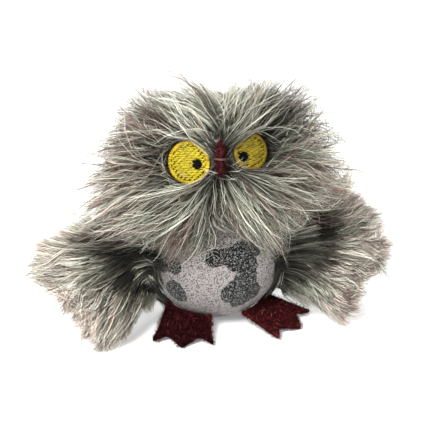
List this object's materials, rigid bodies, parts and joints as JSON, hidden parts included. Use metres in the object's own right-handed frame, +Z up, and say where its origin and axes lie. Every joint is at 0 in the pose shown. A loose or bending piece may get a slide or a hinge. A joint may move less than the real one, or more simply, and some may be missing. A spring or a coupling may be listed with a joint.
{
  "type": "plush owl cat toy",
  "caption": "Palm-sized plush owl with a printed plush belly, long-pile fur face and wings, embroidered eyes, felt beak and felt feet.",
  "frame": {"origin": "middle of the footprint, on the floor under the belly ball", "axes": "+Z up, the owl looks along -Y, the two sides mirror across X = 0"},
  "size_m": [0.1577, 0.0688, 0.1122],
  "materials": {
    "printed_plush": "short printed pile, matt",
    "grey_plush": "short pile, matt",
    "grey_fur": "long silver-grey pile with pale guard hairs",
    "yellow_thread": "satin stitch, silky",
    "amber_thread": "satin stitch, silky",
    "black_thread": "satin stitch, silky",
    "maroon_felt": "mottled wool felt",
    "pale_thread": "sewing thread",
    "white_fibre": "loose polyester fibre",
    "pouch_cloth": "plain cotton"
  },
  "bodies": {
    "owl_body": {"base_panel": "printed_plush", "belly_panel": "printed_plush", "back_panel": "grey_plush", "crown_panel": "grey_plush", "body_filling": "white_fibre", "head_filling": "white_fibre", "catnip_pouch": "pouch_cloth", "left_face_fur": "grey_fur", "right_face_fur": "grey_fur", "beak": "maroon_felt", "beak_stitch": "pale_thread", "left_eye_patch": "yellow_thread", "left_eye_border": "amber_thread", "left_pupil": "black_thread", "right_eye_patch": "yellow_thread", "right_eye_border": "amber_thread", "right_pupil": "black_thread"},
    "left_wing": {"left_wing_fur": "grey_fur", "left_wing_lining": "grey_plush"},
    "right_wing": {"right_wing_fur": "grey_fur", "right_wing_lining": "grey_plush"},
    "left_foot": {"left_foot": "maroon_felt"},
    "right_foot": {"right_foot": "maroon_felt"}
  },
  "joints": [
    {"name": "left_wing_swing", "type": "hinge", "parent": "owl_body", "child": "left_wing", "pos_m": [-0.033, 0.00342, 0.0287], "axis": [0, 0, 1], "range_deg": [-40, 12]},
    {"name": "right_wing_swing", "type": "hinge", "parent": "owl_body", "child": "right_wing", "pos_m": [0.033, 0.00342, 0.0287], "axis": [0, 0, -1], "range_deg": [-40, 12]},
    {"name": "left_foot_fold", "type": "hinge", "parent": "owl_body", "child": "left_foot", "pos_m": [-0.016, -0.01319, 0.00618], "axis": [-0.9511, 0.309, 0], "range_deg": [-30, 10], "stiffness_Nm_per_rad": 0.02},
    {"name": "right_foot_fold", "type": "hinge", "parent": "owl_body", "child": "right_foot", "pos_m": [0.01805, -0.01189, 0.00618], "axis": [-0.682, -0.7314, 0], "range_deg": [-30, 10], "stiffness_Nm_per_rad": 0.02}
  ]
}
